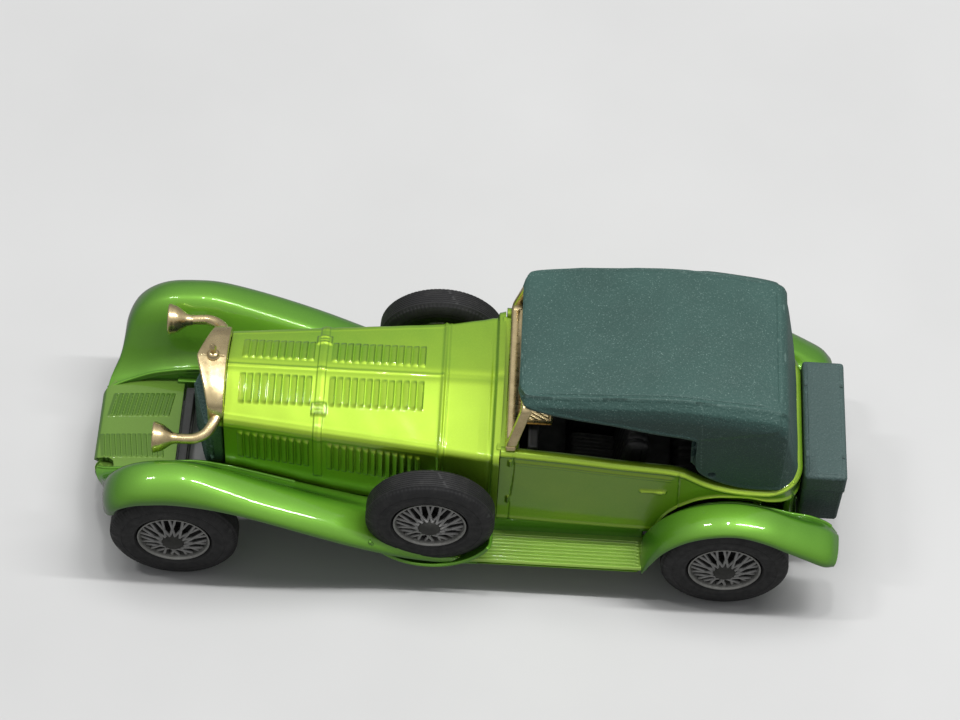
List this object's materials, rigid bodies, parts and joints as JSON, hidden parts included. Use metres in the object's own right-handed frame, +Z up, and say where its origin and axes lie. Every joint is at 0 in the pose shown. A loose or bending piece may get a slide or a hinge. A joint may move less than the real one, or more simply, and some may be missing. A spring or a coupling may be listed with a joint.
{
  "type": "diecast model tourer",
  "caption": "Small-scale diecast vintage tourer with a raised hood, side-mounted spare wheels and two wheelsets that roll freely.",
  "frame": {"origin": "on the ground plane, under the middle of the overall length and width", "axes": "+Z up; +X along the car towards its tail, so the nose points along -X; +Y towards the car's right side"},
  "size_m": [0.1036, 0.0378, 0.0387],
  "materials": {
    "lime_paint": "gloss metallic",
    "dark_green_plastic": "grained",
    "gold_plating": "bright",
    "black_plastic": "satin",
    "tyre_black": "satin",
    "silver_plastic": "metallic",
    "steel": "satin"
  },
  "bodies": {
    "car": {"chassis_casting": "lime_paint", "body_casting": "lime_paint", "base_plate": "black_plastic", "radiator_shell": "gold_plating", "radiator_core": "dark_green_plastic", "windscreen_frame": "gold_plating", "soft_top": "dark_green_plastic", "interior": "black_plastic", "steering_wheel": "black_plastic", "luggage_trunk": "dark_green_plastic", "rivet_front": "steel", "rivet_rear": "steel", "spare_left_rim": "silver_plastic", "spare_left_tyre": "tyre_black", "spare_right_rim": "silver_plastic", "spare_right_tyre": "tyre_black"},
    "front_wheelset": {"front_axle": "steel", "front_left_rim": "silver_plastic", "front_left_tyre": "tyre_black", "front_right_rim": "silver_plastic", "front_right_tyre": "tyre_black"},
    "rear_wheelset": {"rear_axle": "steel", "rear_left_rim": "silver_plastic", "rear_left_tyre": "tyre_black", "rear_right_rim": "silver_plastic", "rear_right_tyre": "tyre_black"}
  },
  "joints": [
    {"name": "front_wheelset_spin", "type": "hinge", "parent": "car", "child": "front_wheelset", "pos_m": [-0.0394, 0, 0.0088], "axis": [0, 1, 0], "continuous": true},
    {"name": "rear_wheelset_spin", "type": "hinge", "parent": "car", "child": "rear_wheelset", "pos_m": [0.0362, 0, 0.0088], "axis": [0, 1, 0], "continuous": true}
  ]
}
